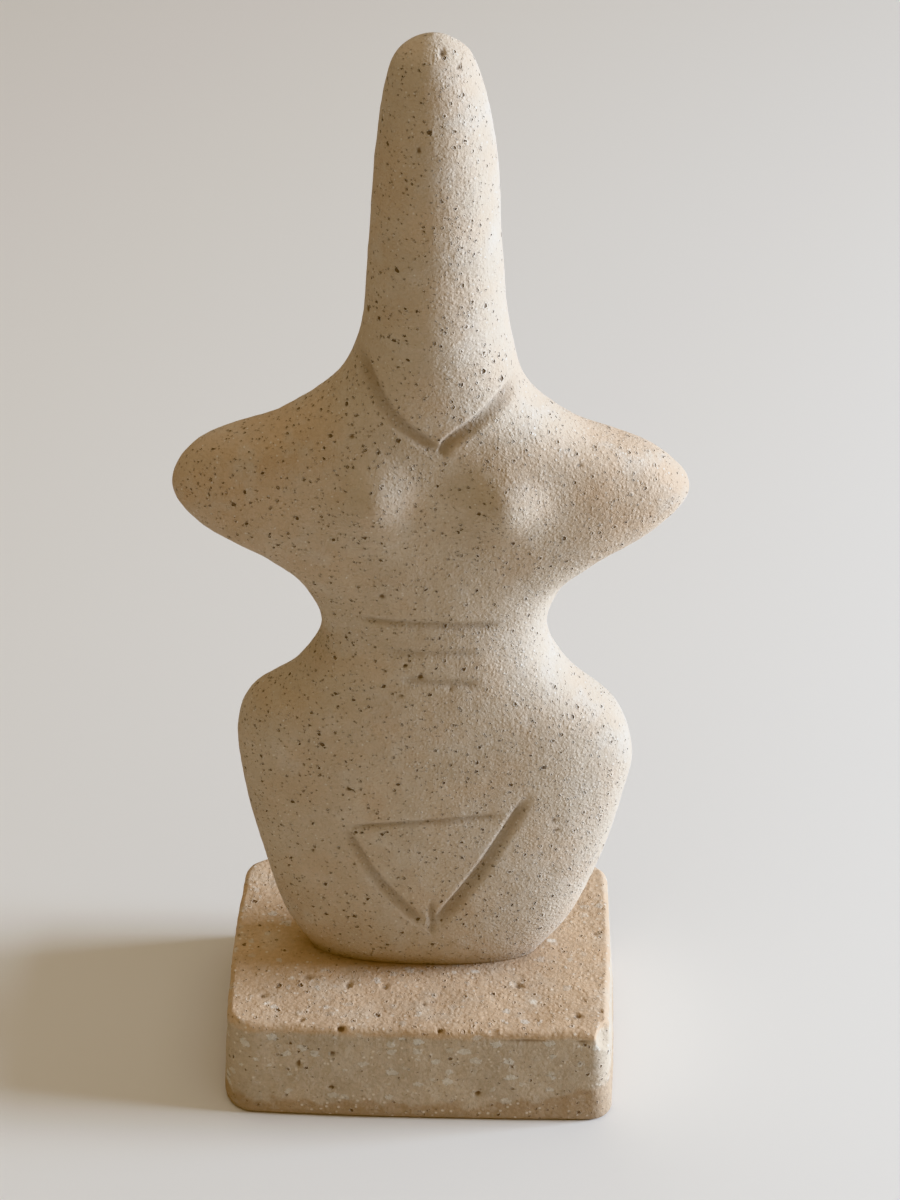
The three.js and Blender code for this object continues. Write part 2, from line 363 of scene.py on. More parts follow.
@dataclass
class Figure:
    """The idol: a flat body with arm stubs and a round peg neck, its lines cut into the front."""

    stations: tuple[Station, ...] = (
        Station("foot", 0, 16.4, -1.7, 0, 5.1, 5),
        Station("heel", 2.6, 18.1, -1.5, 0, 6.6, 6.3),
        Station("ankle", 6.9, 20.7, -1.2, 0, 7.7, 7.3),
        Station("thigh", 17.9, 24.4, -0.5, 0, 8.6, 8),
        Station("flank", 29.9, 27, -0.2, 0, 9, 8.4),
        Station("hip", 37.9, 27.7, -0.1, -3, 9, 8.4),
        Station("hip top", 43.9, 25.8, -0.3, -1.5, 8.8, 8.2),
        Station("loin", 49.4, 19.4, -0.3, 0, 8.4, 7.9),
        Station("waist", 56.9, 15.6, -0.1, 0, 8, 7.5),
        Station("ribs", 63.9, 17.9, -0.4, 0, 8, 7.5),
        Station("armpit", 68.4, 22.9, -0.5, 0, 8.2, 7.5),
        Station("arm under", 73.9, 31.3, -1.1, 0, 8.3, 7.5),
        Station("arm tip", 79.4, 34.6, -0.6, 0.6, 8.3, 7.5),
        Station("arm top", 84.5, 31.3, -1, 0, 8.2, 7.5),
        Station("shoulder", 88.9, 20.5, -1.2, 0, 8.2, 7.6),
        Station("neck root", 94.9, 12.9, -0.6, 0, 8.2, 7.7),
        Station("collar", 101.4, 10.2, 0.1, 0, 8.2, 7.8),
        Station("neck middle", 114.9, 8.7, 0.2, 0, 7.8, 7.6),
        Station("neck top", 128.9, 7.7, 0.3, 0, 7.1, 7),
        Station("brow", 137.4, 6.3, 0.1, 0, 5.8, 5.8),
        Station("crown side", 142.2, 4.4, 0, 0, 3.9, 3.9),
        Station("crown", 144.4, 0, 0, 0, 0, 0),
    )
    axis_offset: float = 2.1
    body_exponent: float = 2.3
    neck_exponent: float = 2.0
    neck_from: float = 88.9
    neck_to: float = 101.4
    rows: int = 430
    front_columns: int = 148
    back_columns: int = 72
    foot_rows: int = 6

    breast_middle: float = 0.9
    breast_apart: float = 17.2
    breast_z: float = 81.2
    breast_radius: float = 4.9
    breast_height: float = 2.5

    strokes: tuple[Stroke, ...] = (
        Stroke("left neckline", ((-9.9, 101.5), (-5.7, 94.5), (1.0, 88.7)), (2.8, 2.3), 0.5, -0.3),
        Stroke(
            "right neckline", ((1.3, 88.2), (2.3, 90.4), (6.0, 93.2), (11.6, 97.5)), (1.8, 2.8), 0.6, -0.5
        ),
        Stroke("upper belly line", ((-10.8, 61.8), (9.4, 61.0)), (1.3, 2.3), 0.36, -0.2),
        Stroke("middle belly line", ((-6.4, 56.8), (6.0, 56.9)), (1.9, 1.9), 0.26),
        Stroke("lower belly line", ((-4.6, 52.6), (6.1, 51.8)), (1.8, 2.0), 0.28),
        Stroke("triangle top", ((-12.4, 27.1), (-3.0, 28.6), (10.4, 30.1)), (1.2, 1.6), 0.4, -0.2),
        Stroke("triangle left", ((-12.6, 27.1), (-8.2, 18.3), (-1.6, 9.5)), (1.7, 2.3), 0.5, -0.3),
        Stroke("triangle right", ((13.2, 32.9), (7.4, 21.3), (0.2, 9.1)), (2.0, 2.7), 0.65, 0.5),
        Stroke("cleft", ((-0.3, 14.1), (-0.3, 7.7)), (1.1, 1.3), 0.4),
    )
    stroke_points: int = 90
    carve_facing: float = 0.35

    wears: tuple[Wear, ...] = (Wear(9.0, 3, 0.10, 0.6), Wear(3.2, 4, 0.05, 1.0), Wear(1.1, 5, 0.035, 1.0))
    scatter: Scatter = Scatter(5.6, 0.6, 0.4, 11, 0.22)
    unworn_foot: float = 1.5
    # painted shade: darkens the cut lines, fully at this depth, and a band this high at the foot where the
    # figure meets the plinth, at this strength
    full_shade_depth: float = 0.4
    painted_shade_band: float = 4.0
    painted_shade_strength: float = 0.6
    warm_middle: float = 1.0
    warm_across: Pair = (9.0, 24.0)
    warm_below: Pair = (66.0, 80.0)
    warm_above: Pair = (104.0, 90.0)

    pits: tuple[Dent, ...] = (
        Dent(-1.7, -8.0, 53.1, 0.6, 9.0, 0.3, 0.6),
        Dent(-3.8, -8.0, 54.7, 0.4, 9.0, 0.35, 0.4),
        Dent(-4.4, -8.0, 50.0, 0.6, 9.0, 0.35, 0.2),
        Dent(-11.8, -8.0, 34.2, 0.45, 9.0, 0.45, 0.3),
        Dent(2.4, -8.0, 51.3, 0.35, 9.0, 0.3, 0.25),
        Dent(19.2, -8.0, 86.2, 0.4, 9.0, 0.4, 0.25),
        Dent(3.4, -6.0, 141.4, 0.5, 9.0, 0.4, 0.3),
        Dent(1.2, -5.0, 143.1, 0.6, 9.0, 0.4, 0.25),
    )

    def curve(self, u: np.ndarray) -> np.ndarray:
        """Centripetal Catmull-Rom interpolation of the stations, its knots spaced along the outline.

        Past the crown the outline comes down the other side, which rounds the top, and below the foot
        it runs straight on.

        Args:
            u: station numbers from 0, with fractions.

        Returns:
            The six sizes of a station for each u, in shape (len(u), 6).
        """
        given = np.array([s.numbers() for s in self.stations])
        beyond = given[-2] * np.array([1, -1, 1, 1, -1, -1])
        padded = np.vstack([2 * given[0] - given[1], given, beyond])
        span = np.minimum(u.astype(int), len(given) - 2)
        points = [padded[span + k] for k in range(4)]
        knots = [np.zeros(len(u))]
        for start, stop in zip(points, points[1:]):
            knots.append(knots[-1] + np.sqrt(np.linalg.norm((stop - start)[:, :2], axis=1)))
        now = knots[1] + (u - span) * (knots[2] - knots[1])

        def mix(a: np.ndarray, b: np.ndarray, start: int, stop: int) -> np.ndarray:
            """The straight blend from a at one knot to b at another."""
            share = ((now - knots[start]) / (knots[stop] - knots[start]))[:, None]
            return a * (1.0 - share) + b * share

        first, second, third = (mix(points[k], points[k + 1], k, k + 1) for k in range(3))
        return mix(mix(first, second, 0, 2), mix(second, third, 1, 3), 1, 2)

    def levels(self) -> np.ndarray:
        """Spaces the rows evenly along the outline, from the foot to just below the crown.

        Returns:
            The six sizes of a station for each row, in shape (rows, 6).
        """
        dense = self.curve(np.linspace(0.0, len(self.stations) - 1.0, OUTLINE_STEPS))
        along = lengths_along(dense[:, :2])
        wanted = np.linspace(0.0, along[-1], self.rows + 1)[:-1]
        return np.stack([np.interp(wanted, along, dense[:, k]) for k in range(dense.shape[1])], axis=-1)

    def exponent(self, z: np.ndarray) -> np.ndarray:
        """The superellipse exponent at height z: round on the neck, a little squarer on the body."""
        change = self.neck_exponent - self.body_exponent
        return self.body_exponent + change * ease(z, self.neck_from, self.neck_to)

    def breasts(self, x: np.ndarray, z: np.ndarray) -> np.ndarray:
        """Two bell-shaped mounds: height times exp(-(distance / radius)^2) round each centre.

        Args:
            x: places across the front.
            z: their heights.

        Returns:
            How far the mounds stand out at each place.
        """
        total = np.zeros_like(x)
        for sign in (-0.5, 0.5):
            away = (x - self.breast_middle - sign * self.breast_apart) ** 2 + (z - self.breast_z) ** 2
            total += self.breast_height * np.exp(-away / self.breast_radius**2)
        return total

    def arc(self, levels: np.ndarray, side: Side, count: int) -> np.ndarray:
        """One face of every ring: half a superellipse, its points evenly spaced from left to right.

        Args:
            levels: the rows' stations.
            side: the face.
            count: how many columns the face has.

        Returns:
            Points in shape (rows, count + 1, 3).
        """
        z, half, shift, rise, front, back = (levels[:, k, None] for k in range(6))
        share = -np.cos(np.linspace(0.0, math.pi, ARC_STEPS))[None, :]
        power = self.exponent(z)
        bulge = (1.0 - np.abs(share) ** power) ** (1.0 / power)
        x = shift + share * half
        height = z + share * rise / 2.0
        depth = front + self.breasts(x, height) if side is Side.FRONT else back
        dense = np.stack([x, side.value * bulge * depth, height], axis=-1)
        along = lengths_along(dense)
        along /= along[:, -1:]
        row = 2.0 * np.arange(len(levels))[:, None]
        wanted = (row + np.linspace(0.0, 1.0, count + 1)[None, :]).ravel()
        known = (row + along).ravel()
        even = [np.interp(wanted, known, dense[..., k].ravel()) for k in range(3)]
        return np.stack(even, axis=-1).reshape(len(levels), count + 1, 3)

    def body(self) -> np.ndarray:
        """The uncarved rings, each the front from left to right and then the back from right to left.

        Returns:
            Points in shape (rows, columns, 3).
        """
        levels = self.levels()
        front = self.arc(levels, Side.FRONT, self.front_columns)
        back = self.arc(levels, Side.BACK, self.back_columns)[:, ::-1]
        return np.concatenate([front[:, :-1], back[:, :-1]], axis=1)

    def stroke_depth(self, stroke: Stroke, x: np.ndarray, z: np.ndarray) -> np.ndarray:
        """Depth cut by one stroke, by the distance to its path.

        Across the stroke the depth falls from the deepest line to either edge as (1 - t^2)^1.5, where t
        goes from 0 to 1, and along it both ends run out to the surface.

        Args:
            stroke: the line.
            x: the front's points, across.
            z: the front's points, upwards.

        Returns:
            Depths from 0 to the stroke's own.
        """
        path = smooth_line(stroke.through, self.stroke_points)
        heading = np.gradient(path, axis=0)
        heading /= np.linalg.norm(heading, axis=1, keepdims=True)
        reach = max(stroke.width)
        near = (
            (x > path[:, 0].min() - reach)
            & (x < path[:, 0].max() + reach)
            & (z > path[:, 1].min() - reach)
            & (z < path[:, 1].max() + reach)
        )
        away = np.stack([x[near], z[near]], axis=-1)[:, None, :] - path[None, :, :]
        closest = np.argmin(np.linalg.norm(away, axis=-1), axis=1)
        offset = away[np.arange(len(closest)), closest]
        along = heading[closest]
        across = offset[:, 0] * along[:, 1] - offset[:, 1] * along[:, 0]
        over = (offset * along).sum(axis=1)
        share = closest / (self.stroke_points - 1.0)
        width = stroke.width[0] + (stroke.width[1] - stroke.width[0]) * share
        from_lean = across / (width / 2.0) - stroke.lean
        t = np.where(from_lean > 0.0, from_lean / (1.0 - stroke.lean), -from_lean / (1.0 + stroke.lean))
        t = np.hypot(t, over / (width / 2.0))
        ends = ease(np.minimum(share, 1.0 - share), -0.04, stroke.run_out)
        depth = np.zeros_like(x)
        depth[near] = stroke.depth * ends * np.clip(1.0 - t**2, 0.0, 1.0) ** 1.5
        return depth

    def build(self) -> bpy.types.Object:
        """Carves the rings and makes them one closed mesh standing on the plinth.

        Returns:
            The figure, with its masks as attributes: carved is painted shade in the cut lines and at the
                foot, hollow is painted shade in the pits and hollows, and warmth is the stone's warmer
                colour.
        """
        rings = self.body()
        normal = ring_normals(rings)
        x, z = rings[..., 0], rings[..., 2]
        facing = ease(-normal[..., 1], 0.0, self.carve_facing)

        carved = np.zeros_like(x)
        for stroke in self.strokes:
            carved = np.maximum(carved, self.stroke_depth(stroke, x, z) * facing)
        pitted = dent_depth(rings, self.pits) * facing
        scattered = self.scatter.hollows(rings)
        cut = carved + pitted + self.scatter.depth * scattered - wear_height(rings, self.wears)
        rings = rings - normal * (cut * ease(z, 0.0, self.unworn_foot))[..., None]

        depths = np.linspace(0.0, 1.0, self.foot_rows, endpoint=False)[1:, None, None]
        foot_middle = np.array([self.stations[0].shift, 0.0, 0.0])
        foot = foot_middle + depths * (rings[0] - foot_middle)
        rings = np.concatenate([foot, rings])

        low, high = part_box("figure")
        plinth_low, plinth_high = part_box("plinth")
        middle = (plinth_low.x + plinth_high.x) / 2.0 / MM
        scale = (high.z - low.z) / MM / self.stations[-1].z
        place = np.array([middle + self.axis_offset, 0.0, low.z / MM])
        crown = np.array([0.0, 0.0, self.stations[-1].z])

        def padded(values: np.ndarray) -> np.ndarray:
            """The values with plain rows for the foot's underside."""
            return np.concatenate([np.zeros((self.foot_rows - 1, values.shape[1])), values])

        # painted shade in the cut lines and in a band at the foot, where the figure meets the plinth
        painted_shade = np.maximum(carved / self.full_shade_depth, self.painted_shade_strength * ease(z, self.painted_shade_band, 0.0))
        warmth = ease(np.abs(x - self.warm_middle), *self.warm_across)
        warmth = warmth * ease(z, *self.warm_below) * ease(z, *self.warm_above)
        return closed_piece(
            "limestone_figure",
            rings * scale + place,
            foot_middle * scale + place,
            crown * scale + place,
            {
                # carved holds the painted shade of the cut lines and the foot
                "carved": padded(np.clip(painted_shade, 0.0, 1.0)),
                # hollow holds painted shade in the pits and scattered hollows
                "hollow": padded(np.clip(np.maximum(pitted * 3.0, scattered), 0.0, 1.0)),
                "warmth": padded(warmth),
            },
        )


# ---- the plinth


@dataclass(frozen=True)
class Chip:
    """A flake lost from an edge, as the ball that would fill it."""

    x: float
    y: float
    z: float
    radius: float

    def cut(self, points: np.ndarray, middle: np.ndarray) -> np.ndarray:
        """Moves the points inside the ball towards the middle, as far as the ball's surface.

        With o the offset from the ball's centre and d the unit direction to the middle, the way out is
        t = -o.d + sqrt((o.d)^2 - |o|^2 + r^2).

        Args:
            points: places in shape (..., 3).
            middle: a place deep in the stone.

        Returns:
            The moved points.
        """
        centre = np.array([self.x, self.y, self.z])
        inward = (middle - centre) / np.linalg.norm(middle - centre)
        offset = points - centre
        along = offset @ inward
        inside = self.radius**2 - (offset**2).sum(axis=-1)
        way = np.sqrt(np.maximum(along**2 + inside, 0.0)) - along
        return points + inward * np.where(inside > 0.0, way, 0.0)[..., None]


@dataclass
class Plinth:
    """The slab: a rounded rectangle with swelling sides that lean in a little, worn and chipped edges."""

    width: float = 57.4
    depth: float = 41.8
    height: float = 16.0
    corner_radii: tuple[float, ...] = (5.2, 5.6, 5.2, 3.3)
    top_round: float = 1.0
    foot_round: float = 1.2
    bow: float = 0.4
    taper: float = 0.95
    lean: float = 0.35
    chip: Chip = Chip(28.6, -18.9, 14.9, 3.1)
    columns: int = 560
    side_rows: int = 40
    edge_rows: int = 11
    top_rows: int = 62
    under_rows: int = 8
    foot_at: Pair = (0.4, 0.0)
    foot_half: Pair = (16.4, 5.1)
    foot_margin: float = 3.0
    unworn_reach: Pair = (0.86, 1.1)
    unworn_foot: float = 0.8
    top_band: Pair = (0.5, 1.5)
    nick_band: Pair = (2.2, 0.9)
    nick_slope: Pair = (0.97, 0.8)
    # painted shade on the top round the figure's foot: its band below the top edge, its strength and its
    # reach
    painted_shade_band: Pair = (1.0, 0.3)
    painted_shade_strength: float = 0.8
    painted_shade_reach: Pair = (1.2, 0.7)

    wears: tuple[Wear, ...] = (Wear(8.0, 23, 0.12, 0.7), Wear(2.8, 24, 0.06, 1.0), Wear(1.1, 25, 0.05, 1.0))
    scatter: Scatter = Scatter(5.2, 0.62, 0.4, 21, 0.25)
    nicks: Scatter = Scatter(4.2, 1.3, 0.4, 27, 0.25)
    dents: tuple[Dent, ...] = (
        Dent(-16.1, -8.3, 16.0, 1.0, 0.9, 3.0, 0.22),
        Dent(-10.2, -9.9, 16.0, 0.6, 1.0, 3.0, 0.25),
        Dent(-5.0, -10.0, 16.0, 0.7, 0.9, 3.0, 0.22),
        Dent(-10.7, -19.2, 15.6, 0.65, 0.7, 0.9, 0.6),
        Dent(3.3, -19.2, 15.6, 0.45, 0.5, 0.8, 0.45),
        Dent(-16.4, -17.6, 16.0, 0.45, 0.55, 2.0, 0.3),
        Dent(-22.4, -12.6, 16.0, 0.6, 0.7, 2.0, 0.25),
        Dent(14.3, -9.1, 16.0, 0.8, 0.7, 3.0, 0.3),
        Dent(22.9, -15.5, 16.0, 0.7, 0.6, 3.0, 0.35),
        Dent(26.2, -14.4, 15.8, 0.45, 0.5, 2.0, 0.3),
        Dent(25.4, 3.2, 16.0, 0.8, 0.5, 2.0, 0.25),
        Dent(8.9, -20.0, 4.9, 0.5, 3.0, 0.5, 0.45),
        Dent(-12.2, -20.0, 5.4, 0.6, 3.0, 0.4, 0.35),
        Dent(-16.8, -20.0, 9.4, 0.4, 3.0, 0.8, 0.4),
        Dent(15.5, -19.6, 14.3, 4.4, 3.0, 0.45, 0.22),
        Dent(23.6, -19.0, 14.2, 1.3, 3.0, 0.4, 0.25),
    )
    flecks: tuple[Dent, ...] = (
        Dent(16.5, -12.5, 16.0, 0.62, 0.62, 2.0, 1.0),
        Dent(8.0, -6.4, 16.0, 0.7, 0.5, 2.0, 0.9),
        Dent(5.0, -6.7, 16.0, 0.45, 0.4, 2.0, 0.6),
        Dent(-18.4, -8.6, 16.0, 0.5, 0.45, 2.0, 0.8),
        Dent(-21.7, -14.3, 16.0, 0.45, 0.4, 2.0, 0.8),
        Dent(-13.0, -14.8, 16.0, 0.5, 0.45, 2.0, 0.6),
        Dent(19.0, 1.0, 16.0, 0.8, 0.5, 2.0, 0.9),
    )

    def outline(self) -> np.ndarray:
        """The foot's plan: quarter circles joined by straight sides that swell by half a sine.

        The corner radii are of the back right, back left, front left and front right corners.

        Returns:
            Points in shape (columns, 2), evenly spaced, counterclockwise from the right side's back end.
        """
        signs = np.array([[1, 1], [-1, 1], [-1, -1], [1, -1]])
        radii = np.array(self.corner_radii)[:, None]
        centres = signs * (np.array([self.width, self.depth]) / 2.0 - self.bow - radii)
        quarter = math.pi / 2.0 * (np.arange(4)[:, None] + np.linspace(0.0, 1.0, CORNER_STEPS))
        arcs = centres[:, None] + radii[..., None] * np.stack([np.cos(quarter), np.sin(quarter)], axis=-1)
        share = np.linspace(0.0, 1.0, SIDE_STEPS)[None, :, None]
        outward = np.array([[0, 1], [-1, 0], [0, -1], [1, 0]])[:, None]
        start, stop = arcs[:, -1:], np.roll(arcs, -1, axis=0)[:, :1]
        sides = start + (stop - start) * share + outward * self.bow * np.sin(math.pi * share)
        loop = np.concatenate([arcs[:, :-1], sides[:, :-1]], axis=1).reshape(-1, 2)
        dense = np.vstack([loop, loop[:1]])
        along = lengths_along(dense)
        wanted = np.linspace(0.0, along[-1], self.columns, endpoint=False)
        return np.stack([np.interp(wanted, along, dense[:, k]) for k in range(2)], axis=-1)

    def profile(self) -> np.ndarray:
        """The side's profile: rounded foot, leaning side, rounded edge.

        Returns:
            Points in shape (levels, 2), each how far it is drawn in and how high it is.
        """
        quarter = np.linspace(0.0, math.pi / 2.0, self.edge_rows)
        foot = self.foot_round * np.stack([1.0 - np.sin(quarter), 1.0 - np.cos(quarter)], axis=-1)
        top = self.top_round * np.stack([1.0 - np.cos(quarter), np.sin(quarter) - 1.0], axis=-1)
        top[:, 1] += self.height
        side_z = np.linspace(foot[-1, 1], top[0, 1], self.side_rows + 1)[1:-1]
        side = np.stack([np.zeros_like(side_z), side_z], axis=-1)
        edge = np.vstack([foot, side, top])
        edge[:, 0] += self.taper * edge[:, 1] / self.height
        return edge

    def rings(self) -> np.ndarray:
        """The unworn slab: underside, side and top, each level the plan drawn in and set back.

        Returns:
            Points in shape (levels, columns, 3).
        """
        plan = self.outline()
        tangent = np.roll(plan, -1, axis=0) - np.roll(plan, 1, axis=0)
        outward = np.stack([tangent[:, 1], -tangent[:, 0]], axis=-1)
        outward /= np.linalg.norm(outward, axis=1, keepdims=True)
        edge = self.profile()[:, None, :]
        level = plan - edge[..., :1] * outward
        z = np.broadcast_to(edge[..., 1:], (*level.shape[:2], 1))
        lean = np.array([0.0, self.lean / self.height])
        wall = np.concatenate([level + z * lean, z], axis=-1)
        top_middle = np.array([0.0, self.lean, self.height])
        inner = np.linspace(1.0, 0.0, self.top_rows + 1)[1:-1, None, None]
        lid = top_middle + (wall[-1:] - top_middle) * inner
        under = np.linspace(0.0, 1.0, self.under_rows + 1)[1:-1, None, None]
        return np.concatenate([wall[:1] * under, wall, lid])

    def build(self) -> bpy.types.Object:
        """Wears, pits and chips the slab and makes it one closed mesh.

        Returns:
            The plinth, with its hollow mask (painted shade in the pits and dents), its fleck mask and the
            painted shade round the figure's foot as attributes.
        """
        rings = self.rings()
        normal = ring_normals(rings)
        z = rings[..., 2]
        reach = np.array(self.foot_half) + self.foot_margin
        from_foot = np.linalg.norm((rings[..., :2] - self.foot_at) / reach, axis=-1)
        below_top = self.height - z
        clear = np.maximum(ease(from_foot, *self.unworn_reach), ease(below_top, *self.top_band))
        clear = clear * ease(z, 0.0, self.unworn_foot)
        on_edge = ease(below_top, *self.nick_band) * ease(normal[..., 2], *self.nick_slope)
        nicked = self.nicks.hollows(rings) * on_edge
        scattered = self.scatter.hollows(rings)
        dented = dent_depth(rings, self.dents)
        cut = dented + self.scatter.depth * scattered + self.nicks.depth * nicked
        cut = (cut - wear_height(rings, self.wears)) * clear
        worn = rings - normal * cut[..., None]
        worn = self.chip.cut(worn, np.array([0.0, 0.0, self.height / 2.0]))
        # painted shade on the top, darker close to the figure's foot
        painted_shade = self.painted_shade_strength * ease(from_foot, *self.painted_shade_reach)
        return closed_piece(
            "slab_plinth",
            worn,
            np.zeros(3),
            np.array([0.0, self.lean, self.height]),
            {
                # hollow holds painted shade in the pits and dents
                "hollow": np.clip(np.maximum(scattered, dented * 2.4), 0.0, 1.0),
                "fleck": ease(dent_depth(rings, self.flecks), 0.0, 0.45),
                # carved holds the painted shade round the figure's foot
                "carved": painted_shade * ease(below_top, *self.painted_shade_band),
            },
        )


# ---- materials


@dataclass
class Graph:
    """A node tree, with short ways to add nodes and feed their inputs."""

    tree: NodeTree

    def feed(self, socket: Socket, value: object) -> None:
        """Links value to the socket if it is a socket too, and otherwise sets it as the socket's value.

        Args:
            socket: the input to fill.
            value: an output socket or a plain value.
        """
        if isinstance(value, Socket):
            self.tree.links.new(value, socket)
        else:
            socket.default_value = value

    def add(self, kind: str, inputs: dict | None = None, **settings: object) -> bpy.types.Node:
        """Adds a node.

        Args:
            kind: the node's type.
            inputs: values or sockets by input name or number.
            **settings: the node's own properties.

        Returns:
            The node.
        """
        node = self.tree.nodes.new(kind)
        for key, value in settings.items():
            setattr(node, key, value)
        for key, value in (inputs or {}).items():
            self.feed(node.inputs[key], value)
        return node

    def group(self, tree: NodeTree, inputs: dict[str, object]) -> bpy.types.Node:
        """A node group with its inputs, given by name."""
        return self.add("ShaderNodeGroup", inputs, node_tree=tree)

    def math(self, operation: str, *values: object, clamp: bool = False) -> Socket:
        """A Math node's result for the given values."""
        node = self.add("ShaderNodeMath", dict(enumerate(values)), operation=operation, use_clamp=clamp)
        return node.outputs[0]

    def times(self, first: object, second: object) -> Socket:
        """The product of two values."""
        return self.math("MULTIPLY", first, second)

    def scaled(self, value: object, factor: object, plus: object) -> Socket:
        """The value times the factor, plus the last value."""
        return self.math("MULTIPLY_ADD", value, factor, plus)

    def vector(self, operation: str, *values: object) -> Socket:
        """A Vector Math node's vector for the given values."""
        return self.add("ShaderNodeVectorMath", dict(enumerate(values)), operation=operation).outputs[0]

    def grow(self, vector: Socket, factor: object) -> Socket:
        """The vector times a number."""
        return self.add("ShaderNodeVectorMath", {0: vector, "Scale": factor}, operation="SCALE").outputs[0]

    def step(self, value: object, low: object, high: object, to: Pair = (0.0, 1.0)) -> Socket:
        """A smooth step of value between low and high, onto the range to."""
        inputs = {"Value": value, "From Min": low, "From Max": high, "To Min": to[0], "To Max": to[1]}
        return self.add("ShaderNodeMapRange", inputs, interpolation_type="SMOOTHSTEP").outputs[0]

    def blend(self, factor: object, first: object, second: object) -> Socket:
        """A colour mix of first and second."""
        inputs = {0: factor, 6: first, 7: second}
        return self.add("ShaderNodeMix", inputs, data_type="RGBA").outputs[2]

    def noise(
        self, place: object, size: float, detail: float = 2.0, roughness: float = 0.5
    ) -> bpy.types.Node:
        """Noise whose largest lumps are about size wide."""
        inputs = {"Vector": place, "Scale": 1.0 / size, "Detail": detail, "Roughness": roughness}
        return self.add("ShaderNodeTexNoise", inputs, noise_dimensions="3D")

    def attribute(self, name: str) -> Socket:
        """The mesh's own value of that name."""
        return self.add("ShaderNodeAttribute", attribute_name=name).outputs["Fac"]

    def shake(
        self, place: Socket, lumps: float, amount: object, detail: float = 1.0, roughness: float = 0.5
    ) -> Socket:
        """Moves a place by noise.

        Args:
            place: the surface point.
            lumps: the noise's size.
            amount: twice the furthest move along each axis.
            detail: how many finer octaves the noise has.
            roughness: how strong they are.

        Returns:
            The moved place.
        """
        move = self.noise(place, lumps, detail, roughness).outputs["Color"]
        move = self.vector("SUBTRACT", move, (0.5, 0.5, 0.5))
        return self.vector("ADD", place, self.grow(move, amount))

    def cells(self, place: Socket, scale: object) -> tuple[Socket, bpy.types.bpy_prop_collection]:
        """Voronoi cells: the distance to the nearest centre, and its cell's three random numbers."""
        node = self.add("ShaderNodeTexVoronoi", {"Vector": place, "Scale": scale}, feature="F1")
        luck = self.add("ShaderNodeSeparateColor", {0: node.outputs["Color"]})
        return node.outputs["Distance"], luck.outputs


def new_group(
    name: str, inputs: dict[str, tuple[str, object]], outputs: dict[str, str]
) -> tuple[Graph, dict[str, Socket], dict[str, Socket]]:
    """An empty shader node group.

    Args:
        name: the group's name.
        inputs: socket type and starting value by input name.
        outputs: socket type by output name.

    Returns:
        The group's graph, its input sockets by name, and the sockets that its outputs read, by name.
    """
    tree = bpy.data.node_groups.new(name, "ShaderNodeTree")
    for label, (kind, value) in inputs.items():
        socket = tree.interface.new_socket(label, in_out="INPUT", socket_type=kind)
        if value is not None:
            socket.default_value = value
    for label, kind in outputs.items():
        tree.interface.new_socket(label, in_out="OUTPUT", socket_type=kind)
    entry = tree.nodes.new("NodeGroupInput")
    leave = tree.nodes.new("NodeGroupOutput")
    given = {label: entry.outputs[label] for label in inputs}
    wanted = {label: leave.inputs[label] for label in outputs}
    return Graph(tree), given, wanted


FLOAT, VECTOR = "NodeSocketFloat", "NodeSocketVector"


def rgba(colour: Triple) -> tuple[float, float, float, float]:
    """The colour with full alpha."""
    return (*colour, 1.0)


def pore_group() -> NodeTree:
    """Open pores: balls of random size and uneven edge round scattered points, cut by the surface.

    A pore's mask, where the material paints shade, is a soft step at its edge, its rim is the band just
    outside, and its hollow is 1 - (distance / radius)^2. The smallest pore is Evenness times the largest.

    Returns:
        The node group.
    """
    graph, given, wanted = new_group(
        "stone_pores",
        {
            "Place": (VECTOR, None),
            "Spacing": (FLOAT, 1.5),
            "Radius": (FLOAT, 0.35),
            "Evenness": (FLOAT, 0.45),
        },
        {"Mask": FLOAT, "Rim": FLOAT, "Hollow": FLOAT},
    )
    spacing, radius = given["Spacing"], given["Radius"]
    shaken = graph.shake(given["Place"], 0.5, graph.times(radius, 1.7))
    distance, random = graph.cells(shaken, graph.math("DIVIDE", 1.0, spacing))
    luck = graph.times(random[0], random[0])
    spare = graph.math("SUBTRACT", 1.0, given["Evenness"])
    size = graph.times(radius, graph.scaled(luck, spare, given["Evenness"]))
    ratio = graph.math("DIVIDE", graph.times(distance, spacing), size)
    past_edge, before_ground = graph.step(ratio, 0.95, 1.15), graph.step(ratio, 1.75, 1.25)
    squared = graph.times(ratio, ratio)
    graph.feed(wanted["Mask"], graph.step(ratio, 1.1, 0.6))
    graph.feed(wanted["Rim"], graph.times(past_edge, before_ground))
    graph.feed(wanted["Hollow"], graph.math("SUBTRACT", 1.0, squared, clamp=True))
    return graph.tree


def grain_group() -> NodeTree:
    """Fine stone: rounded grains and a rough relief, tone that drifts both ways, and bright crystals.

    Returns:
        The node group.
    """
    graph, given, wanted = new_group(
        "stone_grain",
        {"Place": (VECTOR, None), "Size": (FLOAT, 0.5), "Crystals": (FLOAT, 0.1)},
        {"Relief": FLOAT, "Tone": FLOAT, "Crystal": FLOAT},
    )
    place = graph.grow(given["Place"], graph.math("DIVIDE", 1.0, given["Size"]))
    rough = graph.noise(place, 1.3, 3.0, 0.65).outputs[0]
    fine = graph.scaled(graph.noise(place, 1.1, 2.0, 0.7).outputs[0], 2.0, -1.0)
    broad = graph.scaled(graph.noise(place, 12.0, 2.0, 0.5).outputs[0], 1.6, -0.8)
    distance, random = graph.cells(place, 0.85)
    swelling = graph.times(random[0], graph.step(distance, 0.62, 0.12))
    chosen = graph.math("LESS_THAN", random[1], given["Crystals"])
    graph.feed(wanted["Relief"], graph.scaled(swelling, 0.4, rough))
    graph.feed(wanted["Tone"], graph.math("ADD", fine, broad))
    graph.feed(wanted["Crystal"], graph.times(chosen, graph.step(distance, 0.4, 0.15)))
    return graph.tree


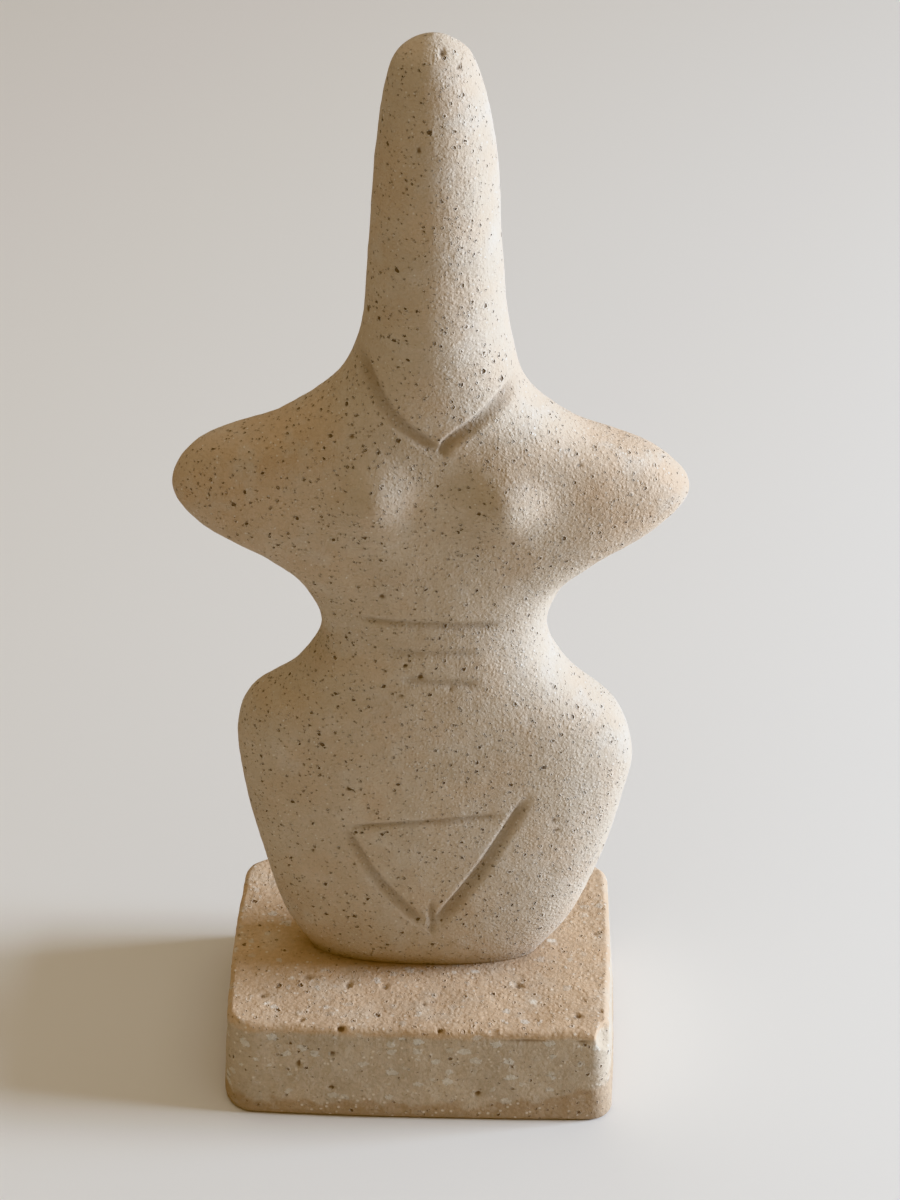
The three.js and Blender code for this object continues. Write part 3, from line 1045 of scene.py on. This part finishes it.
def shell_group() -> NodeTree:
    """Shell fragments: cells a little wider than high, some of which are filled, with ragged edges.

    Returns:
        The node group.
    """
    graph, given, wanted = new_group(
        "shell_bits",
        {
            "Place": (VECTOR, None),
            "Length": (FLOAT, 2.1),
            "Thickness": (FLOAT, 1.4),
            "Share": (FLOAT, 0.3),
        },
        {"Mask": FLOAT, "Tone": FLOAT},
    )
    sizes = {0: given["Length"], 1: given["Length"], 2: given["Thickness"]}
    stretch = graph.add("ShaderNodeCombineXYZ", sizes).outputs[0]
    shaken = graph.shake(given["Place"], 0.9, 1.5, 3.0, 0.7)
    distance, random = graph.cells(graph.vector("DIVIDE", shaken, stretch), 1.0)
    chosen = graph.math("LESS_THAN", random[0], given["Share"])
    reach = graph.scaled(random[2], 0.25, 0.27)
    filled = graph.step(distance, reach, graph.math("SUBTRACT", reach, 0.12))
    graph.feed(wanted["Mask"], graph.times(chosen, filled))
    graph.feed(wanted["Tone"], random[1])
    return graph.tree


@dataclass(frozen=True)
class StoneEffects:
    """The node groups that both stones share."""

    pores: NodeTree
    grain: NodeTree
    shells: NodeTree


@dataclass(frozen=True)
class PoreSize:
    """One size of pore: the spacing and radius in millimetres, how dark its painted shade is and how deep
    it is.
    """

    spacing: float
    radius: float
    darkness: float
    depth: float


@dataclass
class Surface:
    """A stone while its material is put together: the point in millimetres, its colour and its relief."""

    graph: Graph
    place: Socket
    colour: Socket
    height: Socket

    def cover(self, share: object, colour: Triple) -> None:
        """Mixes a share of a colour over the stone."""
        self.colour = self.graph.blend(share, self.colour, rgba(colour))

    def raise_by(self, value: object, height: float) -> None:
        """Raises the relief by the value times a height in millimetres."""
        self.height = self.graph.scaled(value, height, self.height)


@dataclass(frozen=True)
class ShellyBed:
    """Shell fragments, a greyer cut side and a browner band along the foot that rises towards the front
    right corner, in millimetres.
    """

    shell: Triple = (0.68, 0.63, 0.54)
    side: Triple = (0.53, 0.45, 0.345)
    foot: Triple = (0.44, 0.315, 0.205)
    share: float = 0.42
    shell_relief: float = 0.06
    side_strength: float = 0.75
    foot_strength: float = 0.8
    foot_band: float = 3.0
    foot_blur: float = 0.7
    foot_rise: float = 3.2
    rise_across: Pair = (12.0, 27.0)
    top_edge: float = 14.6
    edge_blur: float = 0.5

    def add(self, stone: Surface, shells: NodeTree) -> None:
        """Adds the greyer side, the shell fragments and the brown foot.

        Args:
            stone: the surface so far.
            shells: the shell fragments' node group.
        """
        graph = stone.graph
        parts = graph.add("ShaderNodeSeparateXYZ", {0: stone.place})
        across, level = parts.outputs[0], parts.outputs[2]
        ragged = graph.scaled(graph.noise(stone.place, 4.0, 3.0).outputs[0], 6.0, -3.0)
        rise = graph.step(across, *self.rise_across, (0.0, self.foot_rise))
        lifted = graph.math("SUBTRACT", graph.math("ADD", level, ragged), rise)
        below = graph.step(lifted, self.foot_band + self.foot_blur, self.foot_band - self.foot_blur)
        edge = graph.scaled(ragged, 0.3, level)
        side = graph.step(edge, self.top_edge + self.edge_blur, self.top_edge - self.edge_blur)
        bits = graph.group(shells, {"Place": stone.place, "Share": self.share}).outputs
        shown = graph.times(bits["Mask"], graph.scaled(below, -0.85, 1.0))
        strength = graph.scaled(bits["Tone"], 0.5, 0.1)
        shown = graph.times(shown, graph.scaled(side, 0.3, strength))
        stone.cover(graph.times(side, self.side_strength), self.side)
        stone.cover(graph.times(below, self.foot_strength), self.foot)
        stone.cover(shown, self.shell)
        stone.raise_by(shown, self.shell_relief)


@dataclass(frozen=True)
class StoneFinish:
    """A matt porous limestone. Colours are linear, and sizes are millimetres."""

    name: str
    body: Triple
    warm: Triple
    pale: Triple
    # pore: the colour of the painted shade in the pores, pits, hollows and cut lines
    pore: Triple
    crystal: Triple
    pores: tuple[PoreSize, ...]
    bed: ShellyBed | None = None
    grain_size: float = 0.42
    grain_depth: float = 0.15
    tone_strength: float = 0.10
    crystal_share: float = 0.08
    crystal_strength: float = 0.6
    fleck_strength: float = 0.8
    # how dark the painted shade of the carved and hollow masks is
    painted_shade_strength: float = 0.3
    hollow_strength: float = 0.8
    rim_strength: float = 0.22
    rim_height: float = 0.2
    roughness: float = 0.92

    def material(self, effects: StoneEffects) -> bpy.types.Material:
        """Builds the stone's material.

        Args:
            effects: the shared node groups.

        Returns:
            The material.
        """
        material = bpy.data.materials.new(self.name)
        material.use_nodes = True
        material.node_tree.nodes.clear()
        graph = Graph(material.node_tree)
        place = graph.grow(graph.add("ShaderNodeTexCoord").outputs["Object"], 1.0 / MM)
        inputs = {"Place": place, "Size": self.grain_size, "Crystals": self.crystal_share}
        grain = graph.group(effects.grain, inputs).outputs
        relief = graph.times(grain["Relief"], self.grain_depth)
        stone = Surface(graph, place, self.ground(graph, place), relief)
        if self.bed is not None:
            self.bed.add(stone, effects.shells)
        toned = graph.scaled(grain["Tone"], self.tone_strength, 1.0)
        stone.colour = graph.grow(stone.colour, toned)
        bright = graph.times(grain["Crystal"], self.crystal_strength)
        fleck = graph.times(graph.attribute("fleck"), self.fleck_strength)
        stone.cover(graph.math("MAXIMUM", bright, fleck), self.crystal)
        self.add_pores(stone, effects.pores)

        bump = graph.add("ShaderNodeBump", {"Strength": 1.0, "Distance": MM, "Height": stone.height})
        inputs = {
            "Base Color": stone.colour,
            "Roughness": graph.scaled(grain["Crystal"], -0.3, self.roughness),
            "Normal": bump.outputs[0],
            "Specular IOR Level": 0.3,
        }
        shader = graph.add("ShaderNodeBsdfPrincipled", inputs)
        graph.add("ShaderNodeOutputMaterial", {"Surface": shader.outputs[0]})
        return material

    def ground(self, graph: Graph, place: Socket) -> Socket:
        """The stone's colour before its grains and pores: the body with warm and pale drifts.

        Args:
            graph: the material's graph.
            place: the surface point in millimetres.

        Returns:
            The colour.
        """
        patches = graph.step(graph.noise(place, 9.0, 3.0, 0.6).outputs[0], 0.42, 0.66)
        patches = graph.times(patches, 0.35)
        share = graph.math("MULTIPLY_ADD", graph.attribute("warmth"), 0.6, patches, clamp=True)
        colour = graph.blend(share, rgba(self.body), rgba(self.warm))
        shifted = graph.vector("ADD", place, (31.0, 7.0, 53.0))
        share = graph.step(graph.noise(shifted, 5.0, 3.0, 0.6).outputs[0], 0.48, 0.72, (0.0, 0.6))
        return graph.blend(share, colour, rgba(self.pale))

    def add_pores(self, stone: Surface, pores: NodeTree) -> None:
        """Adds painted shade in the cut lines, at the foot, in the dents and hollows and in each size of
        pore, and each pore's pale rim.

        Args:
            stone: the surface so far.
            pores: the pores' node group.
        """
        graph = stone.graph
        # painted shade from the carved and hollow masks
        painted_shade = graph.times(graph.attribute("carved"), self.painted_shade_strength)
        hollow = graph.step(graph.attribute("hollow"), 0.05, 0.9, (0.0, self.hollow_strength))
        dark = graph.math("MAXIMUM", painted_shade, hollow)
        rims = 0.0
        for number, size in enumerate(self.pores):
            shifted = graph.vector("ADD", stone.place, (17.0 * number, 29.0 * number, 41.0 * number))
            inputs = {"Place": shifted, "Spacing": size.spacing, "Radius": size.radius}
            pore = graph.group(pores, inputs).outputs
            dark = graph.math("MAXIMUM", dark, graph.times(pore["Mask"], size.darkness))
            rims = graph.math("MAXIMUM", rims, graph.times(pore["Rim"], size.darkness))
            stone.raise_by(pore["Hollow"], -size.depth)
            stone.raise_by(pore["Rim"], size.depth * self.rim_height)
        stone.cover(graph.times(rims, self.rim_strength), self.crystal)
        # paints the shade of the pores, cut lines, foot and hollows in the pore colour
        stone.cover(dark, self.pore)


FIGURE_STONE = StoneFinish(
    name="cream_limestone",
    body=(0.60, 0.50, 0.385),
    warm=(0.61, 0.455, 0.315),
    pale=(0.64, 0.56, 0.46),
    pore=(0.16, 0.105, 0.065),
    crystal=(0.80, 0.75, 0.66),
    pores=(
        PoreSize(2.2, 0.34, 0.8, 0.32),
        PoreSize(1.15, 0.24, 0.4, 0.26),
        PoreSize(0.68, 0.16, 0.25, 0.16),
    ),
)

PLINTH_STONE = StoneFinish(
    name="buff_shelly_limestone",
    body=(0.615, 0.45, 0.30),
    warm=(0.56, 0.385, 0.24),
    pale=(0.63, 0.51, 0.38),
    pore=(0.17, 0.10, 0.055),
    crystal=(0.82, 0.74, 0.62),
    pores=(
        PoreSize(2.8, 0.4, 0.7, 0.26),
        PoreSize(1.4, 0.26, 0.4, 0.18),
        PoreSize(0.8, 0.16, 0.25, 0.1),
    ),
    bed=ShellyBed(),
    grain_size=0.6,
    tone_strength=0.2,
    crystal_share=0.14,
)


# ---- the studio


@dataclass(frozen=True)
class Softbox:
    """A square area light, by the direction and distance from the aim, its side and its power."""

    name: str
    azimuth: float
    elevation: float
    distance: float
    side: float
    watts: float
    colour: Triple


@dataclass
class Studio:
    """A pale floor, cool daylight from the right, a warm room and a camera that looks down on the idol."""

    floor_half: float = 4000.0
    floor_colour: Triple = (0.785, 0.75, 0.69)
    world_colour: Triple = (1.0, 0.69, 0.31)
    world_strength: float = 0.245
    lights: tuple[Softbox, ...] = (
        Softbox("window", 92.0, 14.0, 900.0, 300.0, 17.0, (0.635, 0.776, 1.0)),
        Softbox("ceiling", 0.0, 89.0, 900.0, 1500.0, 4.5, (0.98, 1.0, 1.0)),
    )
    aim: Triple = (4.2, -1.6, 77.55)
    azimuth: float = 2.0
    elevation: float = 34.0
    distance: float = 462.2
    lens: float = 102.0

    def direction(self, azimuth: float, elevation: float) -> Vector:
        """The unit vector towards a place at that azimuth, 0 at -Y and 90 at +X, and that elevation."""
        turn, lift = math.radians(azimuth), math.radians(elevation)
        return Vector((math.sin(turn) * math.cos(lift), -math.cos(turn) * math.cos(lift), math.sin(lift)))

    def place(self, thing: bpy.types.Object, azimuth: float, elevation: float, distance: float) -> None:
        """Puts a light or camera in the scene, turned to the aim.

        Args:
            thing: the light or camera.
            azimuth: its direction from the aim, in degrees.
            elevation: its height above the floor, in degrees.
            distance: how far it is from the aim.
        """
        away = self.direction(azimuth, elevation)
        thing.location = (Vector(self.aim) + away * distance) * MM
        thing.rotation_euler = away.to_track_quat("Z", "Y").to_euler()
        bpy.context.scene.collection.objects.link(thing)

    def add_floor(self) -> None:
        """A wide, plain, matt square under the idol."""
        mesh = bpy.data.meshes.new("floor")
        reach = self.floor_half * MM
        corners = [(-reach, -reach, 0), (reach, -reach, 0), (reach, reach, 0), (-reach, reach, 0)]
        mesh.from_pydata(corners, [], [(0, 1, 2, 3)])
        floor = bpy.data.objects.new("floor", mesh)
        bpy.context.scene.collection.objects.link(floor)
        paint = bpy.data.materials.new("pale_floor")
        paint.use_nodes = True
        shader = paint.node_tree.nodes["Principled BSDF"]
        shader.inputs["Base Color"].default_value = rgba(self.floor_colour)
        shader.inputs["Roughness"].default_value = 0.95
        mesh.materials.append(paint)

    def add_light(self, box: Softbox) -> None:
        """Adds one area light, facing the aim.

        Args:
            box: the light.
        """
        lamp = bpy.data.lights.new(box.name, "AREA")
        lamp.shape = "SQUARE"
        lamp.size = box.side * MM
        lamp.energy = box.watts
        lamp.color = box.colour
        self.place(bpy.data.objects.new(box.name, lamp), box.azimuth, box.elevation, box.distance)

    def build(self) -> None:
        """Makes the floor, the room's glow, the lights and the camera."""
        self.add_floor()
        world = bpy.data.worlds.new("soft_room")
        world.use_nodes = True
        sky = world.node_tree.nodes["Background"]
        sky.inputs["Color"].default_value = rgba(self.world_colour)
        sky.inputs["Strength"].default_value = self.world_strength
        bpy.context.scene.world = world
        for box in self.lights:
            self.add_light(box)
        lens = bpy.data.cameras.new("camera")
        lens.lens = self.lens
        lens.sensor_width = 36.0
        camera = bpy.data.objects.new("camera", lens)
        self.place(camera, self.azimuth, self.elevation, self.distance)
        bpy.context.scene.camera = camera
        bpy.context.scene.view_settings.view_transform = "Khronos PBR Neutral"


# ---- the whole


def dress(piece: bpy.types.Object, node: str, material: bpy.types.Material) -> None:
    """Puts a stone on a piece, ties it to the body and lets it stand for its solid.

    Args:
        piece: the visual piece.
        node: the solid that it replaces.
        material: the stone.
    """
    piece.data.materials.append(material)
    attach(piece, "root")
    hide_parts(node)
    log.info("%s: %d faces, stands for %s", piece.name, len(piece.data.polygons), node)


def main() -> None:
    """Builds the studio, the figure and the plinth."""
    logging.basicConfig(level=logging.INFO, format="%(message)s")
    Studio().build()
    effects = StoneEffects(pores=pore_group(), grain=grain_group(), shells=shell_group())
    dress(Figure().build(), "figure", FIGURE_STONE.material(effects))
    dress(Plinth().build(), "plinth", PLINTH_STONE.material(effects))


if __name__ == "__main__":
    main()
